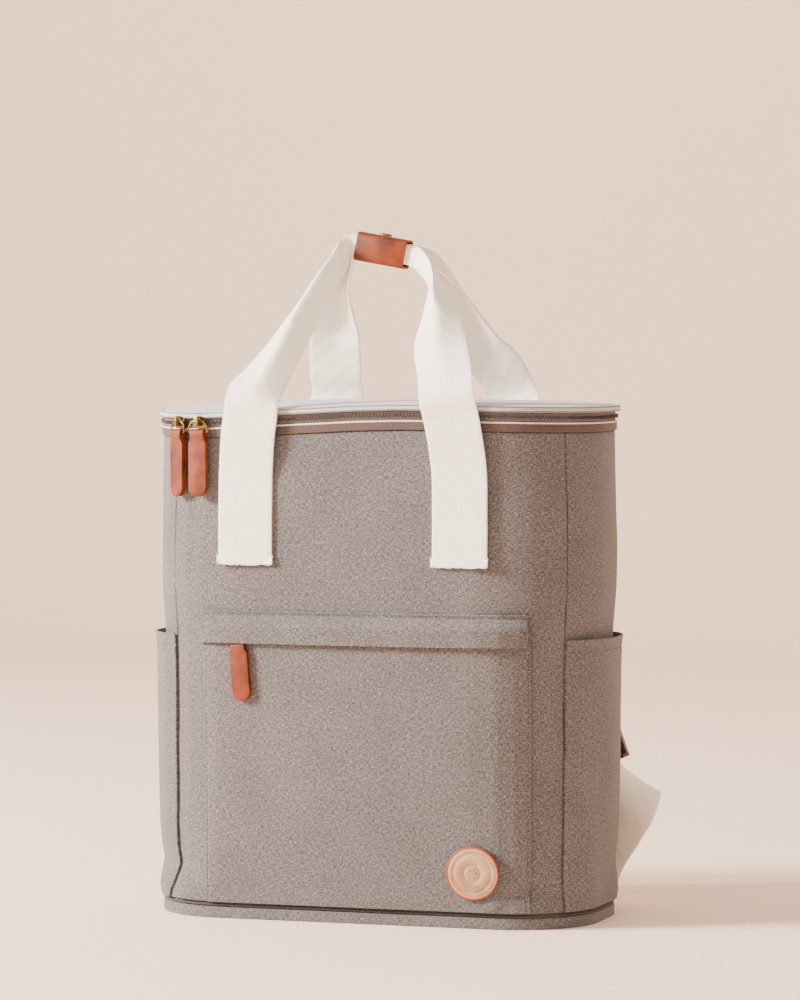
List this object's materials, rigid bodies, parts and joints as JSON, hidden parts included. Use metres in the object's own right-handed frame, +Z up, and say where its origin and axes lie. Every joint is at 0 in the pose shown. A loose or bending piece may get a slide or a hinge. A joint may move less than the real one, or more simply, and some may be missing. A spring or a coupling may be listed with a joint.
{
  "type": "cooler backpack",
  "caption": "Padded cooler backpack with a zipped lid, cotton carry handles joined by a leather sleeve, flat front and side pockets and webbing shoulder straps.",
  "frame": {"origin": "centre of the base on the floor", "axes": "+Z up, -Y out of the front pocket's side, +X to the right seen from the front"},
  "size_m": [0.3403, 0.2118, 0.4683],
  "materials": {
    "grey_fabric": "woven melange grey cloth, matte",
    "lid_fabric": "light grey woven cloth, matte",
    "taupe_trim": "smooth binding, slightly satin",
    "dark_trim": "dark tape and cord, matte",
    "cotton_webbing": "cream cotton twill webbing, matte",
    "tan_leather": "tan leather with stitched edges, soft sheen",
    "pale_leather": "pale leather with debossed rings, matte",
    "aged_brass": "aged brass, satin",
    "dark_metal": "dark coated metal, satin"
  },
  "bodies": {
    "root": {"base_panel": "grey_fabric", "base_piping": "dark_trim", "front_panel": "grey_fabric", "back_panel": "grey_fabric", "side_gusset_right": "grey_fabric", "side_gusset_left": "grey_fabric", "rim_band": "taupe_trim", "zip_tape": "dark_trim", "zip_chain": "dark_trim", "lid_hinge": "grey_fabric", "lid_band": "lid_fabric", "lid": "lid_fabric", "front_pocket": "grey_fabric", "pocket_flap": "grey_fabric", "pocket_pull_tab": "tan_leather", "pocket_slider": "aged_brass", "side_pocket_right": "grey_fabric", "side_pocket_left": "grey_fabric", "leather_patch": "pale_leather", "zip_slider_left": "aged_brass", "slider_ring_left": "aged_brass", "pull_tab_left": "tan_leather", "zip_slider_right": "aged_brass", "slider_ring_right": "aged_brass", "pull_tab_right": "tan_leather", "front_handle": "cotton_webbing", "back_handle": "cotton_webbing", "handle_wrap": "tan_leather", "wrap_snap": "aged_brass", "shoulder_strap_right": "cotton_webbing", "strap_slider_right": "dark_metal", "shoulder_strap_left": "cotton_webbing", "strap_slider_left": "dark_metal"}
  },
  "joints": []
}
